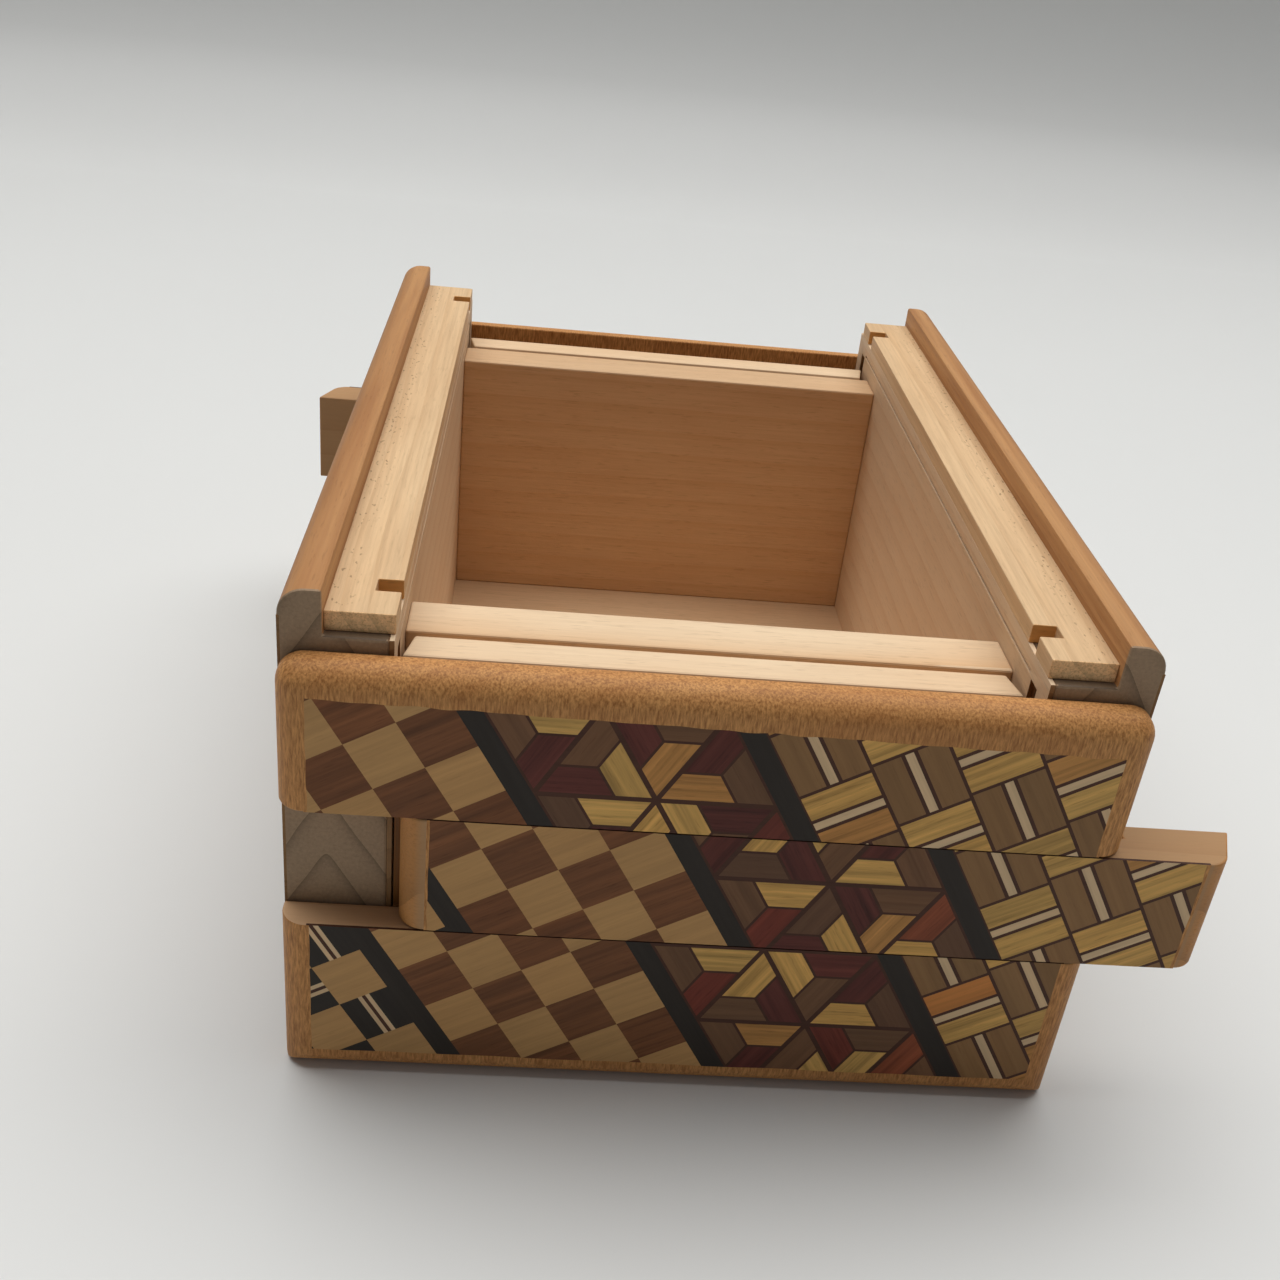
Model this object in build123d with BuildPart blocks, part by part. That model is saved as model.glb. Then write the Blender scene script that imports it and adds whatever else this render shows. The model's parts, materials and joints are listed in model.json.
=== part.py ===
import os

from build123d import *

os.makedirs("parts", exist_ok=True)

# Overall sizes, millimetres. The front end faces -Y; z = 0 is the table under the lowered end panels.
box_length = 121.0
box_width = 88.0
board_height = 52.6
panel_drop = 6.4
key_shift = 12.3
half_turn = 180.0

# Clearances and gaps
running_gap = 0.1
stop_gap = 0.2
end_gap = 0.2
slat_gap = 0.15
groove_gap = 0.2

# Veneer and rounded edges
veneer_thickness = 0.3
edge_radius = 2.8
veneer_margin = 0.1

# Side boards and lid rails
board_thickness = 10.8
lip_thickness = 4.3
lip_height = 2.75
rail_thickness = 2.2
rail_setback = 1.25
rail_tip = 4.8
notch_length = 2.5
notch_depth = 2.6

# Bottom and inner box
bottom_thickness = 2.1
floor_thickness = 1.8
lining_thickness = 0.5
lining_line_drop = 1.9
lining_line_height = 0.35
wall_thickness = 6.5
wall_below_lip = 9.6

# Guide strip on the outside of each inner end wall
strip_top_thickness = 4.2
strip_kerf = 0.9
strip_kerf_depth = 4.0
strip_end_play = 0.2
strip_bevel = 1.1

# End panel slats
slat_thickness = 3.8
key_height = 14.5
lower_height = 21.1
foot_radius = 1.0

# Cleats on the back of each end panel
cleat_width = 2.5
cleat_play = 0.2
cleat_top_room = 2.55
tongue_thickness = 1.7
tongue_reach = 2.3
groove_wall = 0.9

# Key details
key_relief = 0.3
key_lean = 2.4
key_proud = 1.35
tenon_thickness = 2.2
runner_thickness = 2.0
runner_overlap = 2.2

# Levels, bottom to top
core_bottom = panel_drop
core_top = core_bottom + board_height
rail_top = core_top - lip_height
rail_bottom = rail_top - rail_thickness
line_top = rail_bottom - lining_line_drop
line_bottom = line_top - lining_line_height
bottom_panel_z = core_bottom + veneer_thickness
bottom_panel_top = bottom_panel_z + bottom_thickness
floor_top = bottom_panel_top + floor_thickness
wall_top = core_top - wall_below_lip
lower_top = lower_height
key_bottom = lower_top + slat_gap
key_top = key_bottom + key_height
upper_bottom = key_top + slat_gap
panel_top = board_height

# The rear panel is lower: raised, it ends level with the rail tops, so that the lid runs over it
rear_panel_top = panel_top - lip_height

# Half widths, outer face inwards
half_width = box_width / 2
lip_inner = half_width - lip_thickness
board_inner = half_width - board_thickness
lining_inner = board_inner - lining_thickness
rail_inner = lining_inner
veneer_border = edge_radius + veneer_margin

# Stations along the box, from the front face inwards
front_face = -box_length / 2
slat_back = front_face + slat_thickness
key_back = slat_back + running_gap
board_end = slat_back + end_gap
tenon_back = key_back + tenon_thickness
channel_back = tenon_back + end_gap
rail_end = board_end + rail_setback
notch_front = rail_end + rail_tip
notch_rear = notch_front + notch_length
runner_back = key_back + runner_thickness

# The cleat, its tongue and the groove for it in the side board
groove_front = channel_back + groove_wall
tongue_front = groove_front + groove_gap
cleat_back = tongue_front + tongue_thickness
groove_back = cleat_back + groove_gap
groove_depth = tongue_reach + groove_gap
cleat_outer = lining_inner - cleat_play
cleat_inner = cleat_outer - cleat_width
tongue_outer = board_inner + tongue_reach
cleat_bottom = bottom_panel_top + stop_gap
groove_top = rail_bottom - cleat_top_room
cleat_top = groove_top - stop_gap - panel_drop

# Guide strip and inner end wall
strip_front = cleat_back + groove_gap
strip_rear = strip_front + strip_top_thickness
wall_front = strip_rear + strip_kerf
wall_rear = wall_front + wall_thickness
strip_half = lining_inner - strip_end_play

# Key, drawn where the photograph shows it, slid out by key_shift
key_left = -half_width + key_shift
key_right = half_width + key_shift
key_tip = key_right + key_proud
key_nose = key_tip - key_lean
tenon_left = lining_inner + running_gap + key_shift
runner_right = cleat_inner - stop_gap
runner_left = -cleat_inner + stop_gap + key_shift


def slab(x_from, x_to, y_from, y_to, z_from, z_to, mode=Mode.ADD):
    """Plain block between two corners, added to or cut from the open part."""
    with Locations(((x_from + x_to) / 2, (y_from + y_to) / 2, (z_from + z_to) / 2)):
        Box(x_to - x_from, y_to - y_from, z_to - z_from, mode=mode)


def keep(solid, label, turn=0):
    """Turn a front piece round to the rear where asked, name it and write it."""
    placed = solid.rotate(Axis.Z, turn) if turn else solid
    placed.label = label
    export_step(placed, f"parts/{label}.step")


# Right side board: lip, rail step, bottom rabbet, cleat grooves and the key channel.
# The left board is the same piece turned end for end.
def make_side_board(label, turn):
    with BuildPart() as side_board:
        with BuildSketch(Plane.XZ.offset(-board_end)):
            with BuildLine():
                Polyline(
                    (lip_inner, core_bottom),
                    (half_width, core_bottom),
                    (half_width, core_top),
                    (lip_inner, core_top),
                    (lip_inner, rail_bottom),
                    (board_inner, rail_bottom),
                    (board_inner, bottom_panel_top),
                    (lip_inner, bottom_panel_top),
                    close=True,
                )
            make_face()
        extrude(amount=2 * board_end)
        outer_edges = side_board.edges().filter_by(Axis.Y).group_by(Axis.X)[-1]
        fillet(outer_edges, edge_radius)
        slab(
            half_width - veneer_thickness, half_width, board_end, -board_end,
            core_bottom + veneer_border, core_top - veneer_border, Mode.SUBTRACT,
        )
        for groove_from, groove_to in ((groove_front, groove_back), (-groove_back, -groove_front)):
            slab(
                board_inner, board_inner + groove_depth, groove_from, groove_to,
                bottom_panel_top, groove_top, Mode.SUBTRACT,
            )
        slab(
            board_inner, half_width, board_end, channel_back,
            key_bottom - stop_gap, key_top + panel_drop + stop_gap, Mode.SUBTRACT,
        )
    keep(side_board.part, label, turn)


make_side_board("right_side_board", 0)
make_side_board("left_side_board", half_turn)


# Lid rail with its two notches, glued on the step inside the lip
def make_lid_rail(label, turn):
    with BuildPart() as lid_rail:
        slab(rail_inner, lip_inner, rail_end, -rail_end, rail_bottom, rail_top)
        for notch_from, notch_to in ((notch_front, notch_rear), (-notch_rear, -notch_front)):
            slab(
                rail_inner, rail_inner + notch_depth, notch_from, notch_to,
                rail_bottom, rail_top, Mode.SUBTRACT,
            )
    keep(lid_rail.part, label, turn)


make_lid_rail("right_lid_rail", 0)
make_lid_rail("left_lid_rail", half_turn)


# Marquetry veneer let in flush on the outer face of a side board
def make_side_veneer(label, turn):
    with BuildPart() as side_veneer:
        slab(
            half_width - veneer_thickness, half_width, board_end, -board_end,
            core_bottom + veneer_border, core_top - veneer_border,
        )
        slab(
            half_width - veneer_thickness, half_width, board_end, channel_back,
            key_bottom - stop_gap, key_top + panel_drop + stop_gap, Mode.SUBTRACT,
        )
    keep(side_veneer.part, label, turn)


make_side_veneer("right_side_veneer", 0)
make_side_veneer("left_side_veneer", half_turn)


# Thin lining on the inside of a side board, flush with the rail above it: a fine line runs through
# it below the rail, slots take the cleat tongues, and one end is cut away for the key's tenon
def make_lining(label, turn):
    with BuildPart() as lining:
        slab(lining_inner, board_inner, board_end, -board_end, floor_top, rail_bottom)
        slab(
            lining_inner, board_inner, notch_front, -notch_front,
            line_bottom, line_top, Mode.SUBTRACT,
        )
        for groove_from, groove_to in ((groove_front, groove_back), (-groove_back, -groove_front)):
            slab(
                lining_inner, board_inner, groove_from, groove_to,
                floor_top, groove_top, Mode.SUBTRACT,
            )
        slab(
            lining_inner, board_inner, board_end, channel_back,
            key_bottom - stop_gap, key_top + panel_drop + stop_gap, Mode.SUBTRACT,
        )
    keep(lining.part, label, turn)


make_lining("right_inner_wall", 0)
make_lining("left_inner_wall", half_turn)


# Bottom panel in the rabbets of the side boards, its veneer, and the floor of the inner box
with BuildPart() as bottom_panel:
    slab(-lip_inner, lip_inner, board_end, -board_end, bottom_panel_z, bottom_panel_top)
keep(bottom_panel.part, "bottom_panel")

with BuildPart() as bottom_veneer:
    slab(-lip_inner, lip_inner, board_end, -board_end, core_bottom, bottom_panel_z)
keep(bottom_veneer.part, "bottom_veneer")

with BuildPart() as inner_floor:
    slab(-board_inner, board_inner, strip_front, -strip_front, bottom_panel_top, floor_top)
keep(inner_floor.part, "inner_floor")


# End wall of the inner box
def make_end_wall(label, turn):
    with BuildPart() as end_wall:
        slab(-lining_inner, lining_inner, wall_front, wall_rear, floor_top, wall_top)
    keep(end_wall.part, label, turn)


make_end_wall("front_inner_wall", 0)
make_end_wall("rear_inner_wall", half_turn)


# Guide strip: bevelled ends in plan, a kerf along its top against the inner end wall
def make_guide_strip(label, turn):
    with BuildPart() as guide_strip:
        with BuildSketch(Plane.XY.offset(floor_top)):
            with BuildLine():
                Polyline(
                    (-strip_half, strip_front),
                    (strip_half, strip_front),
                    (strip_half - strip_bevel, wall_front),
                    (-strip_half + strip_bevel, wall_front),
                    close=True,
                )
            make_face()
        extrude(amount=wall_top - floor_top)
        slab(
            -strip_half, strip_half, strip_rear, wall_front,
            wall_top - strip_kerf_depth, wall_top, Mode.SUBTRACT,
        )
    keep(guide_strip.part, label, turn)


make_guide_strip("front_guide_strip", 0)
make_guide_strip("rear_guide_strip", half_turn)


# Upper slat of an end panel: rounded over at the top, at both ends and at its top corners, with its
# veneer let in flush
def make_upper_slat(label, turn, top):
    with BuildPart() as upper_slat:
        slab(-half_width, half_width, front_face, slat_back, upper_bottom, top)
        face_edges = upper_slat.faces().sort_by(Axis.Y)[0].edges().sort_by(Axis.Z)[1:]
        corner_edges = upper_slat.edges().filter_by(Axis.Y).group_by(Axis.Z)[-1]
        fillet(face_edges + corner_edges, edge_radius)
        slab(
            -half_width + veneer_border, half_width - veneer_border,
            front_face, front_face + veneer_thickness,
            upper_bottom, top - veneer_border, Mode.SUBTRACT,
        )
    keep(upper_slat.part, label, turn)


def make_upper_veneer(label, turn, top):
    with BuildPart() as upper_veneer:
        slab(
            -half_width + veneer_border, half_width - veneer_border,
            front_face, front_face + veneer_thickness,
            upper_bottom, top - veneer_border,
        )
    keep(upper_veneer.part, label, turn)


# Lower slat: rounded over at the bottom and both ends, its bottom corners eased by the foot radius
def make_lower_slat(label, turn):
    with BuildPart() as lower_slat:
        slab(-half_width, half_width, front_face, slat_back, 0, lower_top)
        face_edges = lower_slat.faces().sort_by(Axis.Y)[0].edges().sort_by(Axis.Z)[:-1]
        fillet(face_edges, edge_radius)
        with BuildSketch(Plane.XZ.offset(-slat_back)) as elevation:
            with Locations((0, lower_height / 2)):
                Rectangle(box_width, lower_height)
            fillet(elevation.vertices().group_by(Axis.Y)[0], foot_radius)
        extrude(amount=slat_thickness, mode=Mode.INTERSECT)
        slab(
            -half_width + veneer_border, half_width - veneer_border,
            front_face, front_face + veneer_thickness,
            veneer_border, lower_top, Mode.SUBTRACT,
        )
    keep(lower_slat.part, label, turn)


def make_lower_veneer(label, turn):
    with BuildPart() as lower_veneer:
        slab(
            -half_width + veneer_border, half_width - veneer_border,
            front_face, front_face + veneer_thickness,
            veneer_border, lower_top,
        )
    keep(lower_veneer.part, label, turn)


# Cleat: ties the upper and lower slats and hooks its tongue into the side board's groove.
# It is eased behind the key so that the key slides past it.
def make_cleat(label, turn, side):
    with BuildPart() as cleat:
        with BuildSketch(Plane.XY.offset(cleat_bottom)):
            with BuildLine():
                Polyline(
                    (side * cleat_inner, slat_back),
                    (side * cleat_outer, slat_back),
                    (side * cleat_outer, tongue_front),
                    (side * tongue_outer, tongue_front),
                    (side * tongue_outer, cleat_back),
                    (side * cleat_inner, cleat_back),
                    close=True,
                )
            make_face()
        extrude(amount=cleat_top - cleat_bottom)
        slab(
            -half_width, half_width, slat_back, slat_back + key_relief,
            key_bottom - slat_gap, key_top + slat_gap, Mode.SUBTRACT,
        )
    keep(cleat.part, label, turn)


# Key slat: slides along X between the upper and lower slats. The thick tenon behind its leading
# end lies in the side board's channel when the key is home. That end leans: it is longer at the back.
def make_key_slat(label, turn):
    with BuildPart() as key_slat:
        with BuildSketch(Plane.XY.offset(key_bottom)):
            with BuildLine():
                Polyline(
                    (key_left, front_face),
                    (key_nose, front_face),
                    (key_tip, tenon_back),
                    (tenon_left, tenon_back),
                    (tenon_left, key_back),
                    (key_left, key_back),
                    close=True,
                )
            make_face()
        extrude(amount=key_height)
        face_edges = key_slat.faces().sort_by(Axis.Y)[0].edges().filter_by(Axis.Z)
        fillet(face_edges, edge_radius)
        slab(
            key_left + veneer_border, key_right - veneer_border,
            front_face, front_face + veneer_thickness,
            key_bottom, key_top, Mode.SUBTRACT,
        )
    keep(key_slat.part, label, turn)


def make_key_veneer(label, turn):
    with BuildPart() as key_veneer:
        slab(
            key_left + veneer_border, key_right - veneer_border,
            front_face, front_face + veneer_thickness, key_bottom, key_top,
        )
    keep(key_veneer.part, label, turn)


# Key runner: wider than the key, so it bears behind both slats, and stops against the cleats
def make_key_runner(label, turn):
    with BuildPart() as key_runner:
        slab(
            runner_left, runner_right, key_back, runner_back,
            key_bottom - runner_overlap, key_top + runner_overlap,
        )
    keep(key_runner.part, label, turn)


for end, turn, outward, top in (("front", 0, 1, panel_top), ("rear", half_turn, -1, rear_panel_top)):
    make_upper_slat(f"{end}_upper_slat", turn, top)
    make_upper_veneer(f"{end}_upper_veneer", turn, top)
    make_lower_slat(f"{end}_lower_slat", turn)
    make_lower_veneer(f"{end}_lower_veneer", turn)
    make_cleat(f"{end}_right_cleat", turn, outward)
    make_cleat(f"{end}_left_cleat", turn, -outward)
    make_key_slat(f"{end}_key_slat", turn)
    make_key_veneer(f"{end}_key_veneer", turn)
    make_key_runner(f"{end}_key_runner", turn)
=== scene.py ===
import json
import math
import random

import bmesh
import bpy
from mathutils import Matrix, Vector
from mathutils.geometry import delaunay_2d_cdt


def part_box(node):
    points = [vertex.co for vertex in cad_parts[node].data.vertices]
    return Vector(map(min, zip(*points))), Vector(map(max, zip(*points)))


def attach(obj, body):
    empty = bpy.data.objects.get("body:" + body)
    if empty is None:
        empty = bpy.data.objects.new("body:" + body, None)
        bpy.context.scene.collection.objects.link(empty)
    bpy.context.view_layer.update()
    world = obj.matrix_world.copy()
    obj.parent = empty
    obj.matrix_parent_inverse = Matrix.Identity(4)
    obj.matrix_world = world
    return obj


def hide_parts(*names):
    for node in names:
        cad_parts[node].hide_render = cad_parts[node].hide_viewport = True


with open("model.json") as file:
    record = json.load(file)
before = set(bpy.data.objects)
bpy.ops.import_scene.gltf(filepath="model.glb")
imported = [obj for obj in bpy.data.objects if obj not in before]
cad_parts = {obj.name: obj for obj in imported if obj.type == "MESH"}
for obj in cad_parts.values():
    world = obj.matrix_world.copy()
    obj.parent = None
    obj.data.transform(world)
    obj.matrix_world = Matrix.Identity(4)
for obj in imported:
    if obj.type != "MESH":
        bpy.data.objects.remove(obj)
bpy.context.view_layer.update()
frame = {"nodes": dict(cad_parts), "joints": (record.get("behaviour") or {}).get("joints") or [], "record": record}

nodes = frame["nodes"]
record = frame["record"]
node_body = {n: body for body, members in record["behaviour"]["bodies"].items() for n in members}

# Marquetry sheet, metres. Bands lean 60 degrees; q runs across them and p runs down along them.
lean = math.radians(60)
sheet_start = -0.0194
black_width = 0.0023
check_side = 0.0059
check_columns = 4
check_start = -0.0173
kasuri_columns = 3
kasuri_start = -0.0275
kasuri_line = 0.0005
kasuri_line_step = 0.00092
star_side = 0.0124
star_height = star_side * math.sin(lean)
star_start = -0.0143
star_rim = 0.00013
star_joint = 0.00015
# A triangle's middle lies a third of its height from each side
star_inset = 1 - 3 * star_rim / star_height
weave_side = 0.0080
weave_row = 0.00824
weave_step = -0.00052
weave_columns = 4
weave_start = -0.00005
weave_joint = 0.00019
weave_white = 0.00092
weave_gap = 0.00042
orange_cell = (0, 0)

# Where each veneer is cut from the sheet: the kerf between slats, their slips, and shifts of the other faces
saw_kerf = 0.0013
key_slip = -0.0004
upper_slip = -0.0013
end_shift = {"front": Vector((0, 0)), "rear": Vector((-0.021, 0.006))}
right_side_shift = Vector((0.012, 0.004))
left_side_shift = Vector((0.036, -0.007))
bottom_shift = Vector((0.005, 0.0))

# Seeds of the random draws; a rear veneer takes the number after the front one's
upper_seed = 10
key_seed = 20
lower_seed = 30
right_side_seed = 40
left_side_seed = 41
bottom_seed = 50

# Strip where sanding the rounding has cut through the veneer, and how much wider it gets to the right
rub_mean = 0.00032
rub_swing = 0.00006
rub_step = 0.0007
rub_least = 0.00006
rub_shortest = 3 * rub_mean
rub_waves = 5
rub_rates = (120, 1500)
rub_sizes = (0.2, 0.6)
top_slant = {"front_upper_veneer": 0.00115}

# Edges of a face, each by the way from it to the middle
left_edge = (1, 0)
right_edge = (-1, 0)
top_edge = (0, -1)
bottom_edge = (0, 1)

# Eased arrises, and faces with a second finish: sawn wood in a rail's notch, painted shade on a board's step,
# painted light on the slat faces by the key
slat_ease = 0.00022
board_ease = 0.00030
inner_ease = 0.00025
rail_ease = 0.00012
lining_ease = 0.00004
ease_segments = 2
ease_profile = 0.5
arris_angle = math.radians(32)
smooth_angle = math.radians(20)
merge_angle = math.radians(0.5)
weld_distance = 1e-7
seat_slack = 1e-6
step_depth = 0.004
notch_margin = 0.001

# Least part of a unit normal along a direction for a face or side to count as facing that way
flat_face = 0.9999
same_way = 0.99
sawn_or_painted_light_way = 0.9

# Camera as the photograph was taken
camera_place = Vector((-0.01994, -0.17743, 0.12494))
camera_forward = Vector((0.0783, 0.8662, -0.4935))
camera_right = Vector((0.9947, -0.0344, 0.0974))
camera_lens = 40.3
sensor = 36.0
nearest = 0.005

# Floor that sweeps up into a backdrop with painted shade where it rises, one large lamp and a weak even light
floor_reach = 6.0
floor_back = 0.35
floor_rough = 0.5
sweep_radius = 0.09
sweep_height = 0.6
sweep_turns = 16
# Painted shade on the backdrop: the height over which it darkens as it rises, and the share of its colour that is
# left
painted_shade_rise = 0.4 * sweep_radius
backdrop_painted_shade = 0.75
cloud_scale = 6.0
cloud_detail = 4.0
cloud_span = (0.3, 0.7)
cloud_mix = 0.12
cloud_shade = 0.9
lamp_place = Vector((0.0, 0.30, 1.0))
lamp_target = Vector((0.0, 0.0, 0.03))
lamp_width = 2.0
lamp_depth = 1.0
lamp_power = 16.2
lamp_colour = (1.0, 0.99, 0.97)
world_colour = (0.97, 0.98, 1.0, 1.0)
world_strength = 0.13

# Wood: values of the noise, or of the facing for end grain, between which a mark goes from none to full
rough_span = (0.25, 0.75)
shade_span = (0.3, 0.7)
deep_span = (0.34, 0.62)
patch_span = (0.35, 0.7)
pore_span = (0.62, 0.72)
speck_span = (0.54, 0.66)
pit_span = (0.65, 0.71)
end_span = (0.05, 0.4)
band_span = (0.5, 1.0)
veneer_pore_span = (0.62, 0.74)

# Wood: noise scales with the fibre and across it, and detail and roughness of the noise
drift_grain = (8, 45)
pore_grain = (420, 4200)
speck_grain = (40, 5200)
pit_grain = (1200, 2600)
veneer_fibre_grain = (90, 2600, 1)
veneer_band_grain = (35, 900, 1)
veneer_pore_grain = (420, 5200, 1)
dot_detail = 1.0
broad_detail = 2.0
fibre_detail = 4.0
fibre_rough = 0.65
plain_rough = 0.55

# Wood: shares of a colour that are left in marks, strengths of the marks, and finish
deep_share = 0.55
pore_share = 0.4
late_end_share = 0.5
end_pit_share = (0.45, 0.32, 0.22)
veneer_pore_share = (0.5, 0.42, 0.36)
end_ring_gain = 1.7
fleck_light = 0.4
band_weight = 0.9
fibre_weight = 0.6
band_shade = (0.35, -1.0)
pit_fade = 0.0015
pit_mix = 0.6
ring_taper = 0.05
relief_depth = 0.0002
wood_shine = 0.2
veneer_gloss = (0.4, 0.56)
veneer_bump = 0.08


def srgb(red, green, blue):
    """Linear colour from 0 to 255 display values."""
    parts = (red / 255, green / 255, blue / 255)
    return tuple(c / 12.92 if c <= 0.04045 else ((c + 0.055) / 1.055) ** 2.4 for c in parts)


# Woods of the marquetry: colour, streak strength, and how much one piece differs from the next
woods = {
    "tan": (srgb(197, 152, 97), 0.16, 0.04),
    "walnut": (srgb(130, 82, 49), 0.42, 0.10),
    "black": (srgb(50, 43, 37), 0.12, 0.03),
    "yellow": (srgb(222, 174, 97), 0.46, 0.08),
    "amber": (srgb(204, 146, 80), 0.42, 0.06),
    "orange": (srgb(214, 140, 72), 0.24, 0.04),
    "red": (srgb(122, 56, 42), 0.48, 0.12),
    "plum": (srgb(102, 50, 42), 0.48, 0.12),
    "rust": (srgb(152, 80, 50), 0.38, 0.06),
    "brown": (srgb(120, 85, 58), 0.26, 0.08),
    "umber": (srgb(110, 78, 56), 0.26, 0.08),
    "olive": (srgb(146, 109, 69), 0.20, 0.06),
    "white": (srgb(224, 192, 150), 0.16, 0.04),
    "line": (srgb(80, 48, 34), 0.20, 0.03),
}
warm_share = 0.4
grain_offsets = 50


# Material helpers
def add_node(tree, kind, inputs=None, **settings):
    node = tree.nodes.new(kind)
    for key, value in settings.items():
        setattr(node, key, value)
    for key, value in (inputs or {}).items():
        if isinstance(value, bpy.types.NodeSocket):
            tree.links.new(value, node.inputs[key])
        else:
            node.inputs[key].default_value = value
    return node


def math_node(tree, operation, first, second=0.0, third=0.0):
    inputs = {0: first, 1: second, 2: third}
    return add_node(tree, "ShaderNodeMath", inputs, operation=operation).outputs[0]


def mix_node(tree, factor, first, second, blend="MIX"):
    inputs = {0: factor, 6: first, 7: second}
    node = add_node(tree, "ShaderNodeMix", inputs, data_type="RGBA", blend_type=blend)
    return node.outputs[2]


def remap(tree, value, span, target):
    inputs = {"Value": value, 1: span[0], 2: span[1], 3: target[0], 4: target[1]}
    return add_node(tree, "ShaderNodeMapRange", inputs, clamp=True).outputs[0]


def noise_node(tree, vector, detail, rough=plain_rough, scale=1.0):
    inputs = {"Vector": vector, "Scale": scale, "Detail": detail, "Roughness": rough}
    return add_node(tree, "ShaderNodeTexNoise", inputs).outputs["Fac"]


def stretched(tree, vector, scale, shift=(0, 0, 0)):
    inputs = {"Vector": vector, "Location": shift, "Scale": scale}
    return add_node(tree, "ShaderNodeMapping", inputs).outputs[0]


def axis_parts(tree, vector):
    return add_node(tree, "ShaderNodeSeparateXYZ", {0: vector}).outputs


def blank_material(name):
    material = bpy.data.materials.new(name)
    material.use_nodes = True
    tree = material.node_tree
    return material, tree, tree.nodes["Principled BSDF"]


def opaque(colour):
    return (*colour, 1.0)


def darker(colour, share):
    return opaque(tuple(share * c for c in colour))


def along(axis, with_fibre, across):
    """Scale with one value along the fibre axis and another across it."""
    return tuple(with_fibre if a == axis else across for a in "XYZ")


def finish_wood(tree, bsdf, colour, fibre, gloss, bump):
    tree.links.new(colour, bsdf.inputs["Base Color"])
    tree.links.new(remap(tree, fibre, rough_span, gloss), bsdf.inputs["Roughness"])
    relief = {"Height": fibre, "Strength": bump, "Distance": relief_depth}
    tree.links.new(add_node(tree, "ShaderNodeBump", relief).outputs[0], bsdf.inputs["Normal"])
    bsdf.inputs["Specular IOR Level"].default_value = wood_shine


def ring_place(tree, place, mirrored):
    """Texture place for the rings, the same on both sides of the box where asked."""
    if not mirrored:
        return place
    parts = axis_parts(tree, place)
    folded = {0: math_node(tree, "ABSOLUTE", parts[0]), 1: parts[1], 2: parts[2]}
    return add_node(tree, "ShaderNodeCombineXYZ", folded).outputs[0]


def ring_radius(tree, centred, arch_tip):
    """Distance from the pith, or the height of a pointed arch over it where a tip radius is given."""
    if not arch_tip:
        return add_node(tree, "ShaderNodeVectorMath", {0: centred}, operation="LENGTH").outputs["Value"]
    parts = axis_parts(tree, centred)
    square = math_node(tree, "MULTIPLY_ADD", parts[0], parts[0], arch_tip ** 2)
    return math_node(tree, "ADD", math_node(tree, "SQRT", square), parts[2])


def year_rings(tree, place, axis, pith, ring, wander, stretch, mirrored, sharp, arch_tip):
    """0 in early wood, rising to 1 at the end of each year's ring about the pith line."""
    scale = [ring_taper if a == axis else stretch if a == "X" else 1.0 for a in "XYZ"]
    shift = tuple(-p * s for p, s in zip(pith, scale))
    centred = stretched(tree, ring_place(tree, place, mirrored), tuple(scale), shift)
    radius = ring_radius(tree, centred, arch_tip)
    drift = noise_node(tree, stretched(tree, place, along(axis, *drift_grain)), broad_detail)
    bent = math_node(tree, "MULTIPLY_ADD", drift, wander * ring, radius)
    turn = math_node(tree, "FRACT", math_node(tree, "DIVIDE", bent, ring))
    return math_node(tree, "POWER", turn, sharp)


def end_grain(tree, place, axis, colour, rings, ring_mix, shade, tint, dots):
    """The colour with its end-grain look where the face looks along the fibre."""
    facing = add_node(tree, "ShaderNodeTexCoord").outputs["Normal"]
    endwise = math_node(tree, "ABSOLUTE", axis_parts(tree, facing)["XYZ".index(axis)])
    ring_share = math_node(tree, "MULTIPLY", rings, end_ring_gain * ring_mix)
    cut = mix_node(tree, ring_share, opaque(tint), darker(tint, late_end_share))
    cut = mix_node(tree, 1.0, cut, shade, "MULTIPLY")
    speck = noise_node(tree, stretched(tree, place, along(axis, *speck_grain)), dot_detail)
    pit = opaque(tuple(share * c for share, c in zip(end_pit_share, tint)))
    cut = mix_node(tree, remap(tree, speck, speck_span, (0.0, dots)), cut, pit)
    return mix_node(tree, remap(tree, endwise, end_span, (0.0, 1.0)), colour, cut)


def with_pits(tree, place, axis, colour, late, pits_from):
    """The colour with open pores on the part that lies further than a distance from the middle plane."""
    across = math_node(tree, "ABSOLUTE", axis_parts(tree, place)[0])
    outer = remap(tree, across, (pits_from, pits_from + pit_fade), (0.0, pit_mix))
    dots = noise_node(tree, stretched(tree, place, along(axis, *pit_grain)), dot_detail)
    amount = math_node(tree, "MULTIPLY", outer, remap(tree, dots, pit_span, (0.0, 1.0)))
    return mix_node(tree, amount, colour, darker(late, pore_share))


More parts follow.
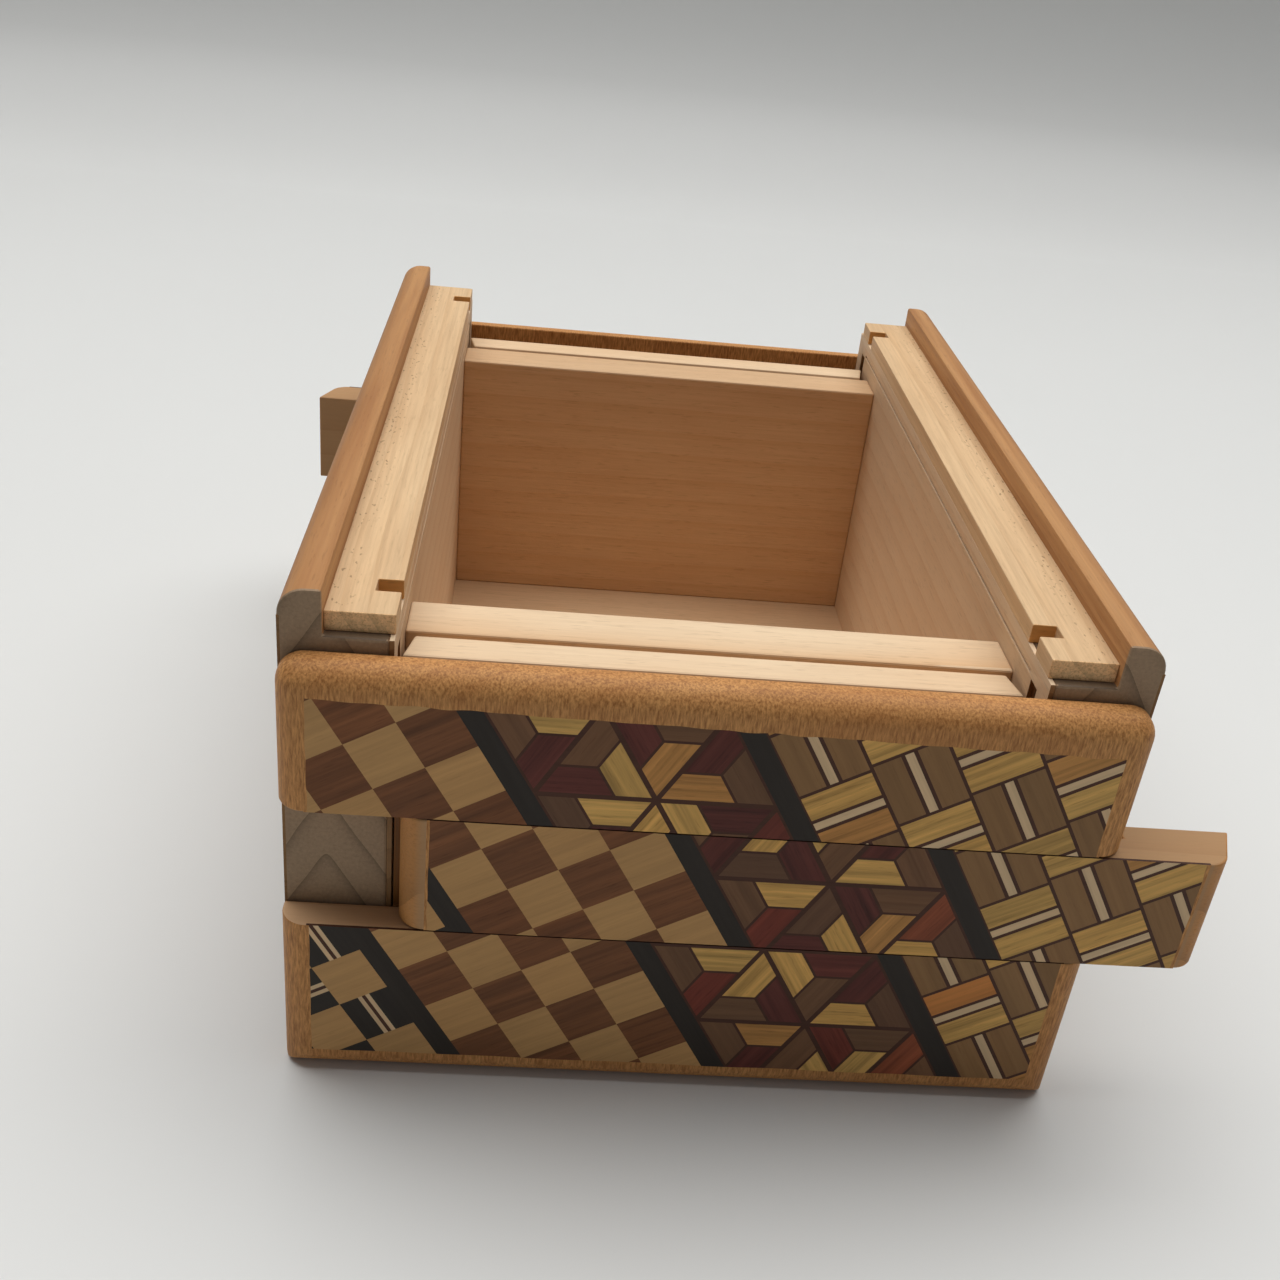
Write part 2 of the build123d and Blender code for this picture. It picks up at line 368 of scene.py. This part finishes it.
def solid_wood(name, axis, early, late, pith, ring, ring_mix=0.5, fleck=0.35, wander=2.2, stretch=1.0,
               mirrored=False, sharp=3.0, arch_tip=0.0, grain=(70, 2600), streak=(30, 90, 0.22), pore=0.18,
               pits_from=None, end_tint=None, end_dots=0.0, gloss=(0.45, 0.65), bump=0.25):
    """Wood as a solid texture: rings about a pith line along the fibre axis, fibres, streaks and pores."""
    material, tree, bsdf = blank_material(name)
    place = add_node(tree, "ShaderNodeTexCoord").outputs["Object"]
    rings = year_rings(tree, place, axis, pith, ring, wander, stretch, mirrored, sharp, arch_tip)
    fibre = noise_node(tree, stretched(tree, place, along(axis, *grain)), fibre_detail, fibre_rough)
    patch = noise_node(tree, stretched(tree, place, along(axis, *streak[:2])), broad_detail)
    pores = noise_node(tree, stretched(tree, place, along(axis, *pore_grain)), dot_detail)
    colour = mix_node(tree, math_node(tree, "MULTIPLY", rings, ring_mix), opaque(early), opaque(late))
    shade = remap(tree, fibre, shade_span, (1.0 - fleck, 1.0 + fleck_light * fleck))
    colour = mix_node(tree, remap(tree, fibre, deep_span, (fleck, 0.0)), colour, darker(late, deep_share))
    colour = mix_node(tree, remap(tree, patch, patch_span, (0.0, streak[2])), colour, opaque(late))
    colour = mix_node(tree, remap(tree, pores, pore_span, (0.0, pore)), colour, darker(late, pore_share))
    if pits_from:
        colour = with_pits(tree, place, axis, colour, late, pits_from)
    if end_tint:
        colour = end_grain(tree, place, axis, colour, rings, ring_mix, shade, end_tint, end_dots)
    finish_wood(tree, bsdf, colour, fibre, gloss, bump)
    return material


def marquetry_material(name):
    """Thin polished woods: the colour and grain direction of each piece come with its faces."""
    material, tree, bsdf = blank_material(name)
    tone = add_node(tree, "ShaderNodeAttribute", attribute_name="wood_tone").outputs["Vector"]
    grain = add_node(tree, "ShaderNodeAttribute", attribute_name="grain").outputs["Vector"]
    streak = add_node(tree, "ShaderNodeAttribute", attribute_name="streak").outputs["Fac"]
    fibre = noise_node(tree, stretched(tree, grain, veneer_fibre_grain), fibre_detail, fibre_rough)
    bands = noise_node(tree, stretched(tree, grain, veneer_band_grain), broad_detail)
    pores = noise_node(tree, stretched(tree, grain, veneer_pore_grain), dot_detail)
    fine = math_node(tree, "MULTIPLY", fibre, fibre_weight)
    both = math_node(tree, "MULTIPLY_ADD", bands, band_weight, fine)
    dark = remap(tree, both, band_span, band_shade)
    shade = math_node(tree, "MULTIPLY_ADD", dark, streak, 1.0)
    colour = mix_node(tree, 1.0, tone, shade, "MULTIPLY")
    open_pores = math_node(tree, "MULTIPLY", remap(tree, pores, veneer_pore_span, (0.0, 1.0)), streak)
    in_pores = mix_node(tree, 1.0, colour, opaque(veneer_pore_share), "MULTIPLY")
    colour = mix_node(tree, open_pores, colour, in_pores)
    finish_wood(tree, bsdf, colour, fibre, veneer_gloss, veneer_bump)
    return material


def plain_floor(name, colour):
    """Pale paper with faint clouds, and painted shade that darkens it where it rises behind the object."""
    material, tree, bsdf = blank_material(name)
    place = add_node(tree, "ShaderNodeTexCoord").outputs["Object"]
    cloud = noise_node(tree, place, cloud_detail, scale=cloud_scale)
    cloudy = remap(tree, cloud, cloud_span, (0.0, cloud_mix))
    paper = mix_node(tree, cloudy, opaque(colour), darker(colour, cloud_shade))
    # Painted shade: the paper darkens as the backdrop rises, where less light falls
    painted_shade_mask = remap(tree, axis_parts(tree, place)[2], (0.0, painted_shade_rise), (0.0, 1.0))
    paper = mix_node(tree, painted_shade_mask, paper, darker(colour, backdrop_painted_shade))
    tree.links.new(paper, bsdf.inputs["Base Color"])
    bsdf.inputs["Roughness"].default_value = floor_rough
    return material


cream_pale, cream_dark = srgb(236, 210, 176), srgb(214, 166, 116)
rail_pale, rail_dark = srgb(226, 193, 151), srgb(190, 145, 100)
rim_pale, rim_dark = srgb(218, 160, 98), srgb(166, 100, 48)
batten_pale, batten_dark = srgb(132, 86, 41), srgb(106, 65, 30)
floor_colour = srgb(226, 227, 226)
materials = {
    "board": solid_wood("board_wood", "Y", srgb(194, 144, 94), srgb(150, 96, 54), pith=(0.0395, 0, 0.0229),
                        ring=0.0074, fleck=0.2, wander=0.5, stretch=1.7, mirrored=True, sharp=6.0,
                        arch_tip=0.0008, streak=(22, 700, 0.6), end_tint=srgb(165, 139, 111)),
    "rim": solid_wood("rim_wood", "Z", rim_pale, rim_dark, pith=(0.02, -0.16, 0), ring=0.0022,
                      ring_mix=0.25, fleck=0.75, grain=(600, 4200), bump=0.08),
    "key": solid_wood("key_wood", "X", srgb(184, 145, 104), srgb(164, 120, 80), pith=(0, 0.1, 0.1),
                      ring=0.004, ring_mix=0.3, fleck=0.08, pore=0.05, end_tint=srgb(196, 138, 80),
                      end_dots=0.25),
    # Painted light: the key wood made lighter for the slat faces under and over the key, which lie in shade
    # beneath the upper slat
    "slide": solid_wood("slide_wood_painted_light", "X", srgb(212, 172, 132), srgb(188, 142, 100), pith=(0, 0.1, 0.1),
                        ring=0.004, ring_mix=0.3, fleck=0.1, pore=0.05),
    # Painted shade: a dark grey-brown for the board's step in front of each rail, which lies in shade
    "step": solid_wood("step_wood_painted_shade", "Y", srgb(112, 92, 72), srgb(96, 78, 60), pith=(0, 0, 0.1),
                       ring=0.004, ring_mix=0.3, fleck=0.2),
    "notch": solid_wood("notch_wood", "X", srgb(228, 174, 106), srgb(200, 142, 80), pith=(0, 0.1, 0.1),
                        ring=0.004, ring_mix=0.3, fleck=0.2),
    "rail": solid_wood("rail_wood", "Y", rail_pale, rail_dark, pith=(0.12, 0, 0.15), ring=0.0024,
                       ring_mix=0.25, fleck=0.24, pore=0.12, pits_from=0.0365,
                       end_tint=srgb(255, 208, 152), end_dots=0.4),
    "wall": solid_wood("wall_wood", "X", cream_pale, cream_dark, pith=(0, 0.03, -0.12), ring=0.0034,
                       ring_mix=0.6, fleck=0.14, wander=0.9),
    # Painted shade: the wall wood made darker and more orange for the rear inner wall and the inner floor, which
    # lie in shade inside the box
    "rear_wall": solid_wood("rear_wall_wood_painted_shade", "X", srgb(218, 183, 144), srgb(190, 138, 90),
                            pith=(0, 0.03, -0.12), ring=0.0038, ring_mix=0.22, fleck=0.16, wander=1.6),
    "lining": solid_wood("lining_wood", "Y", srgb(226, 200, 168), srgb(202, 158, 114),
                         pith=(0.03, 0, -0.12), ring=0.0038, ring_mix=0.3, fleck=0.12, wander=0.9,
                         end_tint=srgb(150, 114, 76)),
    "cleat": solid_wood("cleat_wood", "Z", batten_pale, batten_dark, pith=(0.1, 0.02, 0), ring=0.002),
    "runner": solid_wood("runner_wood", "X", batten_pale, batten_dark, pith=(0, 0.1, 0.1), ring=0.002),
    "bottom": solid_wood("bottom_wood", "X", srgb(196, 150, 102), srgb(150, 102, 62), pith=(0, 0.1, 0.08),
                         ring=0.003),
    "marquetry": marquetry_material("marquetry"),
}

# Wood and easing of a node by the end of its name, the first that fits
wood_by_ending = (
    ("side_board", "board", board_ease),
    ("key_slat", "key", slat_ease),
    ("slat", "rim", slat_ease),
    ("lid_rail", "rail", rail_ease),
    ("left_inner_wall", "lining", lining_ease),
    ("right_inner_wall", "lining", lining_ease),
    # The rear inner wall and the inner floor take the wall wood with painted shade
    ("rear_inner_wall", "rear_wall", inner_ease),
    ("inner_floor", "rear_wall", inner_ease),
    ("cleat", "cleat", inner_ease),
    ("runner", "runner", inner_ease),
    ("bottom_panel", "bottom", inner_ease),
    ("", "wall", inner_ease),
)

# Wood of the second-finish faces (sawn wood in a rail's notch, painted shade on a board's step), and of a veneer's
# own edge, by the wood of the piece or of what the veneer lies in
sawn_and_painted_light_woods = {"board": "step", "rail": "notch"}
edge_woods = {"rim": "line", "board": "olive", "bottom": "olive"}


# Pieces carried over from the frame with eased arrises
def wood_of(node):
    return next((wood, ease) for ending, wood, ease in wood_by_ending if node.endswith(ending))


def settle(name, mesh, node):
    """The mesh as a piece that takes its node's place and body, with the node hidden."""
    obj = bpy.data.objects.new(name, mesh)
    bpy.context.scene.collection.objects.link(obj)
    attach(obj, node_body[node])
    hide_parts(node)


def clean_copy(node):
    """The node's mesh with its triangles joined back into whole faces."""
    shape = bmesh.new()
    shape.from_mesh(nodes[node].data)
    bmesh.ops.remove_doubles(shape, verts=shape.verts, dist=weld_distance)
    bmesh.ops.dissolve_limit(shape, angle_limit=merge_angle, verts=shape.verts, edges=shape.edges)
    return shape


def in_seat(edge, seat):
    """Whether an edge lies against the veneer that is let in there."""
    low, high = seat
    return all(low[i] - seat_slack <= v.co[i] <= high[i] + seat_slack for v in edge.verts for i in range(3))


def sawn_or_painted_light_face(node, face):
    """Whether a face takes the second finish: a slat's face under or over the key (painted light), a board's step
    (painted shade), a rail's notch (sawn wood).
    """
    if node.endswith("side_board"):
        return face.normal.z > sawn_or_painted_light_way and face.center.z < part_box(node)[1].z - step_depth
    if node.endswith("lid_rail") and abs(face.normal.y) > sawn_or_painted_light_way:
        low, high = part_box(node)
        return low.y + notch_margin < face.center.y < high.y - notch_margin
    facing = {"lower_slat": 1, "upper_slat": -1}
    return any(node.endswith(kind) and face.normal.z * sign > sawn_or_painted_light_way for kind, sign in facing.items())


def eased_piece(node):
    """The node's shape with its arrises eased, except where a veneer is let in."""
    wood, ease = wood_of(node)
    shape = clean_copy(node)
    arrises = [e for e in shape.edges if len(e.link_faces) == 2 and e.calc_face_angle() > arris_angle]
    veneer = node.replace("slat", "veneer").replace("board", "veneer")
    if veneer != node:
        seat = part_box(veneer)
        arrises = [e for e in arrises if not in_seat(e, seat)]
    bmesh.ops.bevel(shape, geom=arrises, offset=ease, segments=ease_segments, profile=ease_profile,
                    affect="EDGES", clamp_overlap=True)
    mesh = bpy.data.meshes.new(f"{node}_mesh")
    shape.to_mesh(mesh)
    shape.free()
    mesh.materials.clear()
    mesh.materials.append(materials[wood])
    # Second finish: painted shade on a board's step, sawn wood in a rail's notch, otherwise the slide wood with
    # painted light
    mesh.materials.append(materials[sawn_and_painted_light_woods.get(wood, "slide")])
    for face in mesh.polygons:
        face.material_index = 1 if sawn_or_painted_light_face(node, face) else 0
        face.use_smooth = max(abs(c) for c in face.normal) < flat_face
    mesh.set_sharp_from_angle(angle=smooth_angle)
    settle(f"{node}_dressed", mesh, node)


# Marquetry tiles, each a convex outline in (q, p) with its wood and grain direction
down, side = Vector((0, 1)), Vector((1, 0))


def next_corners(outline):
    return outline[1:] + outline[:1]


def middle_of(points):
    return sum(points, Vector((0, 0))) / len(points)


def inward_from(start, end, middle):
    """Unit normal of a side, towards the middle of its outline."""
    normal = (end - start).orthogonal().normalized()
    return normal if normal.dot(middle - start) > 0 else -normal


def shrink(outline, distance):
    """A convex outline with every side moved inwards."""
    middle = middle_of(outline)
    moved = []
    for before, here, after in zip(outline[-1:] + outline[:-1], outline, next_corners(outline)):
        first = inward_from(before, here, middle)
        second = inward_from(here, after, middle)
        moved.append(here + (first + second) * distance / (1 + first.dot(second)))
    return moved


def block(q_from, q_to, p_from, p_to):
    return [Vector(c) for c in ((q_from, p_from), (q_to, p_from), (q_to, p_to), (q_from, p_to))]


def spans(start, step, low, high):
    """Indexed steps from start that cover low to high."""
    first, last = math.floor((low - start) / step), math.ceil((high - start) / step)
    return [(i, start + i * step) for i in range(first, last)]


def line_tiles(q, p_low, p_high):
    yield block(q, q + black_width, p_low, p_high), "black", down


def check_tiles(q, p_low, p_high):
    for row, p in spans(check_start, check_side, p_low, p_high):
        for column in range(check_columns):
            wood = "walnut" if (row + column) % 2 == 0 else "tan"
            left = q + column * check_side
            yield block(left, left + check_side, p, p + check_side), wood, side


def kasuri_strips():
    """Strips across a black square of the kasuri band, from its middle, with their woods."""
    half = check_side / 2
    lines = [sign * kasuri_line_step / 2 for sign in (-1, 1)]
    edges = [-half, *(m + s * kasuri_line / 2 for m in lines for s in (-1, 1)), half]
    return zip(edges, edges[1:], ("black", "white", "line", "white", "black"))


def kasuri_tiles(q, p_low, p_high):
    """Tan squares checkered with black ones that carry a double pale line."""
    for row, p in spans(kasuri_start, check_side, p_low, p_high):
        for column in range(kasuri_columns):
            left = q + column * check_side
            if (row + column + kasuri_columns) % 2 == 0:
                yield block(left, left + check_side, p, p + check_side), "tan", side
                continue
            upright = (column + kasuri_columns) % 2 == 1
            for start, end, wood in kasuri_strips():
                if upright:
                    centre = left + check_side / 2
                    yield block(centre + start, centre + end, p, p + check_side), wood, down
                else:
                    centre = p + check_side / 2
                    yield block(left, left + check_side, centre + start, centre + end), wood, side


plank_woods = ("yellow", "yellow", "yellow", "amber")
star_woods = {
    "Y": plank_woods,
    "B": ("brown", "brown", "umber"),
    "R": ("red", "plum", "plum", "rust"),
}


def star_row(q, p):
    """The three lattice points of one row across the star band."""
    return [Vector((q + i * star_height, p + (i - 1) * star_side / 2)) for i in range(3)]


def star_tiles(q, p_low, p_high, pick):
    """Triangles of three equal trapezoids that turn round the middle of each triangle."""
    for line, p in spans(star_start, star_side, p_low - star_side, p_high + star_side):
        top, low = star_row(q, p), star_row(q, p + star_side)
        even = line % 2 == 0
        triangles = (
            ((top[0], low[0], top[1]), "BRY"),
            ((low[0], low[1], top[1]), "BRY" if even else "RYB"),
            ((top[1], low[1], top[2]), "YBR" if even else "RYB"),
            ((low[1], low[2], top[2]), "YBR"),
        )
        for corners, families in triangles:
            centre = middle_of(corners)
            inner = [centre + (c - centre) * star_inset for c in corners]
            for i, family in enumerate(families):
                a, b, c = inner[i], inner[(i + 1) % 3], inner[(i + 2) % 3]
                outline = [a, a + (b - a) * 2 / 3, centre, a + (c - a) / 3]
                wood = pick.choice(star_woods[family])
                yield shrink(outline, star_joint), wood, (b - a).normalized()


def weave_cuts(size):
    """Where the first plank, the pale line and the second plank lie across a square of the weave."""
    plank = (size - weave_white - 2 * weave_gap - 2 * weave_joint) / 2
    first = weave_joint + plank
    line = first + weave_gap
    return ((weave_joint, first, False), (line, line + weave_white, True),
            (size - first, size - weave_joint, False))


def weave_tiles(q, p_low, p_high, pick):
    """Basket weave: two planks and a pale line, turned in every other square; columns step up a little."""
    for row, row_start in spans(weave_start, weave_row, p_low, p_high - weave_columns * weave_step):
        for column in range(weave_columns):
            left = q + column * weave_side
            p = row_start + column * weave_step
            level = (row + column) % 2 == 0
            for start, end, pale in weave_cuts(weave_row if level else weave_side):
                if level:
                    outline = block(left + weave_joint, left + weave_side - weave_joint, p + start, p + end)
                    wood = pick.choice(plank_woods)
                    if (row, column) == orange_cell and start == weave_joint:
                        wood = "orange"
                else:
                    outline = block(left + start, left + end, p + weave_joint, p + weave_row - weave_joint)
                    wood = "olive"
                yield outline, "white" if pale else wood, side if level else down


def sheet_tiles(q_low, q_high, p_low, p_high, pick):
    """All tiles of the banded sheet that reach into a range."""
    bands = (
        (check_columns * check_side, lambda q: check_tiles(q, p_low, p_high)),
        (2 * star_height, lambda q: star_tiles(q, p_low, p_high, pick)),
        (weave_columns * weave_side, lambda q: weave_tiles(q, p_low, p_high, pick)),
        (kasuri_columns * check_side, lambda q: kasuri_tiles(q, p_low, p_high)),
    )
    repeat = sum(width + black_width for width, _ in bands)
    for _, q in spans(sheet_start, repeat, q_low, q_high):
        for width, tiles in bands:
            if q + width > q_low and q < q_high:
                yield from tiles(q)
            if q + width + black_width > q_low and q + width < q_high:
                yield from line_tiles(q + width, p_low, p_high)
            q += width + black_width


# Veneers: tiles laid on the node's outer face
across_bands = Vector((math.sin(lean), math.cos(lean)))
down_bands = Vector((math.cos(lean), -math.sin(lean)))
sanded = "sanded"
valid_faces = 4


def to_sheet(point):
    return Vector((point.dot(across_bands), point.dot(down_bands)))


def from_sheet(point):
    return point.x * across_bands + point.y * down_bands


def points_along(direction, way):
    return direction.dot(Vector(way)) > same_way


def rubbed_strip(start, end, inward, pick, slant):
    """Outline of the sanded strip along one side, wider to the right by slant."""
    length = (end - start).length
    steps = max(2, round(length / rub_step))
    waves = [(pick.uniform(*rub_rates), pick.uniform(0, math.tau), pick.uniform(*rub_sizes))
             for _ in range(rub_waves)]
    points = [start, end]
    for i in range(steps, -1, -1):
        part = i / steps
        swing = sum(size * math.sin(rate * length * part + phase) for rate, phase, size in waves)
        rightward = part if end.x > start.x else 1 - part
        width = max(rub_least, rub_mean + rub_swing * swing + slant * rightward)
        points.append(start + (end - start) * part + inward * width)
    return points


def facing_up(outline):
    """The outline's points in anticlockwise order."""
    area = sum(a.cross(b) for a, b in zip(outline, next_corners(outline)))
    return outline if area > 0 else outline[::-1]


def outer_outline(node, normal):
    """Corner points of the node's outer face, in order."""
    shape = clean_copy(node)
    outer = (f for f in shape.faces if f.normal.dot(normal) > same_way)
    face = max(outer, key=lambda f: f.calc_area())
    points = [v.co.copy() for v in face.verts]
    shape.free()
    return points


def sheet_layout(node, domain, shift, rubbed, pick):
    """Outlines on a veneer's face, the whole face first, with the wood and grain of each."""
    in_sheet = [to_sheet(d - shift) for d in domain]
    q_range = min(s.x for s in in_sheet), max(s.x for s in in_sheet)
    p_range = min(s.y for s in in_sheet), max(s.y for s in in_sheet)
    outlines = [domain]
    labels = [None]
    for outline, wood, grain in sheet_tiles(*q_range, *p_range, pick):
        outlines.append([from_sheet(o) + shift for o in outline])
        labels.append((wood, from_sheet(grain)))
    middle = middle_of(domain)
    for start, end in zip(domain, next_corners(domain)):
        inward = inward_from(start, end, middle)
        if any(points_along(inward, r) for r in rubbed) and (end - start).length > rub_shortest:
            slant = top_slant.get(node, 0.0) if points_along(inward, top_edge) else 0.0
            outlines.append(rubbed_strip(start, end, inward, pick, slant))
            labels.append(sanded)
    return [facing_up(o) for o in outlines], labels


def divided(outlines):
    """Points and cells of the face cut along all outlines, and the outlines that each cell lies in."""
    points = [p for o in outlines for p in o]
    faces = []
    at = 0
    for o in outlines:
        faces.append(list(range(at, at + len(o))))
        at += len(o)
    flat, _, cells, _, _, origins = delaunay_2d_cdt(points, [], faces, valid_faces, weld_distance)
    return flat, cells, origins


def cell_wood(origin, labels):
    """Wood and grain of a cell, and whether it lies in a sanded strip."""
    tiles = [labels[i] for i in origin if i]
    rubbed = sanded in tiles
    wood, grain = tiles[0] if tiles and not rubbed else ("line", side)
    return wood, grain, rubbed


def piece_jitter(spread, pick):
    """Random brightness, warmth and grain offset of one piece of wood."""
    tint = 1 + pick.uniform(-spread, spread)
    warm = 1 + warm_share * pick.uniform(-spread, spread)
    return tint, warm, pick.uniform(0, grain_offsets)


def lay_cells(shape, verts, cells, origins, labels, axes, pick):
    """Faces of the sheet, with each cell's wood and grain on its corners."""
    right, up, normal = axes
    tone = shape.loops.layers.float_vector["wood_tone"]
    grain_at = shape.loops.layers.float_vector["grain"]
    streak_at = shape.loops.layers.float["streak"]
    jitter = {}
    for cell, origin in zip(cells, origins):
        if 0 not in origin:
            continue
        wood, grain, rubbed = cell_wood(origin, labels)
        colour, streak, spread = woods[wood]
        key = max(origin)
        if key not in jitter:
            jitter[key] = piece_jitter(spread, pick)
        tint, warm, offset = jitter[key]
        face = shape.faces.new([verts[i] for i in cell])
        face.material_index = 1 if rubbed else 0
        fibre = right * grain.x + up * grain.y
        cross = normal.cross(fibre)
        for loop in face.loops:
            loop[tone] = (colour[0] * tint * warm, colour[1] * tint, colour[2] * tint / warm)
            loop[grain_at] = (loop.vert.co.dot(fibre), loop.vert.co.dot(cross), offset)
            loop[streak_at] = streak


def laid_sheet(outlines, labels, level, axes, pick):
    """A veneer's outer face, divided into its pieces of wood and facing outwards."""
    right, up, normal = axes
    flat, cells, origins = divided(outlines)
    shape = bmesh.new()
    shape.loops.layers.float_vector.new("wood_tone")
    shape.loops.layers.float_vector.new("grain")
    shape.loops.layers.float.new("streak")
    verts = [shape.verts.new(right * p.x + up * p.y + normal * level) for p in flat]
    lay_cells(shape, verts, cells, origins, labels, axes, pick)
    for vert in [v for v in shape.verts if not v.link_faces]:
        shape.verts.remove(vert)
    bmesh.ops.recalc_face_normals(shape, faces=shape.faces)
    if sum((f.normal * f.calc_area() for f in shape.faces), Vector()).dot(normal) < 0:
        bmesh.ops.reverse_faces(shape, faces=shape.faces)
    return shape


def close_sheet(shape, normal, thickness, edge_colour):
    """Walls and a back for the sheet."""
    tone = shape.loops.layers.float_vector["wood_tone"]
    rim_edges = [e for e in shape.edges if e.is_boundary]
    walls = bmesh.ops.extrude_edge_only(shape, edges=rim_edges)["geom"]
    low = [g for g in walls if isinstance(g, bmesh.types.BMVert)]
    bmesh.ops.translate(shape, verts=low, vec=-normal * thickness)
    low_edges = [g for g in walls if isinstance(g, bmesh.types.BMEdge) and g.is_boundary]
    back = bmesh.ops.edgeloop_fill(shape, edges=low_edges)["faces"]
    for face in back + [g for g in walls if isinstance(g, bmesh.types.BMFace)]:
        face.material_index = 0
        for loop in face.loops:
            loop[tone] = edge_colour


def marquetry_piece(node, right, up, shift, rubbed, seed, rim="rim"):
    """The node's veneer as a closed sheet whose outer face is divided into its pieces of wood."""
    pick = random.Random(seed)
    normal = right.cross(up)
    corners = outer_outline(node, normal)
    domain = [Vector((c.dot(right), c.dot(up))) for c in corners]
    outlines, labels = sheet_layout(node, domain, shift, rubbed, pick)
    shape = laid_sheet(outlines, labels, corners[0].dot(normal), (right, up, normal), pick)
    low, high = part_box(node)
    close_sheet(shape, normal, min(high - low), woods[edge_woods[rim]][0])
    mesh = bpy.data.meshes.new(f"{node}_mesh")
    shape.to_mesh(mesh)
    shape.free()
    mesh.materials.append(materials["marquetry"])
    mesh.materials.append(materials[rim])
    settle(f"{node}_tiles", mesh, node)


# Build the pieces
x, y, z = Vector((1, 0, 0)), Vector((0, 1, 0)), Vector((0, 0, 1))
key_travel = next(j for j in frame["joints"] if j["name"] == "front_key_slide")["range_m"]
key_out = max(key_travel) - min(key_travel)

for node in nodes:
    if not node.endswith("veneer"):
        eased_piece(node)

ends = (left_edge, right_edge)
for turn, (end, right) in enumerate((("front", x), ("rear", -x))):
    base = end_shift[end]
    upper = base + Vector((upper_slip, -2 * saw_kerf))
    key = base + Vector((key_slip + key_out, -saw_kerf))
    marquetry_piece(f"{end}_upper_veneer", right, z, upper, (*ends, top_edge), upper_seed + turn)
    marquetry_piece(f"{end}_key_veneer", right, z, key, ends, key_seed + turn)
    marquetry_piece(f"{end}_lower_veneer", right, z, base, (*ends, bottom_edge), lower_seed + turn)
side_rubbed = (top_edge, bottom_edge)
marquetry_piece("right_side_veneer", y, z, right_side_shift, side_rubbed, right_side_seed, "board")
marquetry_piece("left_side_veneer", -y, z, left_side_shift, side_rubbed, left_side_seed, "board")
marquetry_piece("bottom_veneer", x, -y, bottom_shift, (), bottom_seed, "bottom")


# Stage: floor, light and camera
def floor_profile():
    """Points (y, z) of the floor from the front edge to the top of the backdrop."""
    yield -floor_reach, 0.0
    yield floor_back, 0.0
    for i in range(1, sweep_turns + 1):
        angle = math.pi / 2 * i / sweep_turns
        yield floor_back + sweep_radius * math.sin(angle), sweep_radius * (1 - math.cos(angle))
    yield floor_back + sweep_radius, sweep_height


def add_floor():
    shape = bmesh.new()
    lines = [[shape.verts.new((edge, py, pz)) for edge in (-floor_reach, floor_reach)]
             for py, pz in floor_profile()]
    for a, b in zip(lines, lines[1:]):
        shape.faces.new((a[0], a[1], b[1], b[0]))
    mesh = bpy.data.meshes.new("studio_floor")
    shape.to_mesh(mesh)
    shape.free()
    mesh.shade_smooth()
    mesh.materials.append(plain_floor("studio_floor", floor_colour))
    floor = bpy.data.objects.new("studio_floor", mesh)
    bpy.context.scene.collection.objects.link(floor)


def add_light():
    data = bpy.data.lights.new("window", "AREA")
    data.shape = "ELLIPSE"
    data.size = lamp_width
    data.size_y = lamp_depth
    data.energy = lamp_power
    data.color = lamp_colour
    lamp = bpy.data.objects.new("window", data)
    lamp.location = lamp_place
    lamp.rotation_euler = (lamp_target - lamp_place).to_track_quat("-Z", "Y").to_euler()
    bpy.context.scene.collection.objects.link(lamp)
    world = bpy.data.worlds.new("studio")
    bpy.context.scene.world = world
    world.use_nodes = True
    background = world.node_tree.nodes["Background"]
    background.inputs["Color"].default_value = world_colour
    background.inputs["Strength"].default_value = world_strength


def add_camera():
    lens = bpy.data.cameras.new("photo_camera")
    lens.sensor_width = sensor
    lens.lens = camera_lens
    lens.clip_start = nearest
    camera = bpy.data.objects.new("photo_camera", lens)
    back = -camera_forward.normalized()
    rightward = camera_right.normalized()
    turn = Matrix((rightward, back.cross(rightward), back)).transposed().to_4x4()
    camera.matrix_world = Matrix.Translation(camera_place) @ turn
    bpy.context.scene.collection.objects.link(camera)
    bpy.context.scene.camera = camera
    bpy.context.scene.view_settings.view_transform = "Standard"


add_floor()
add_light()
add_camera()
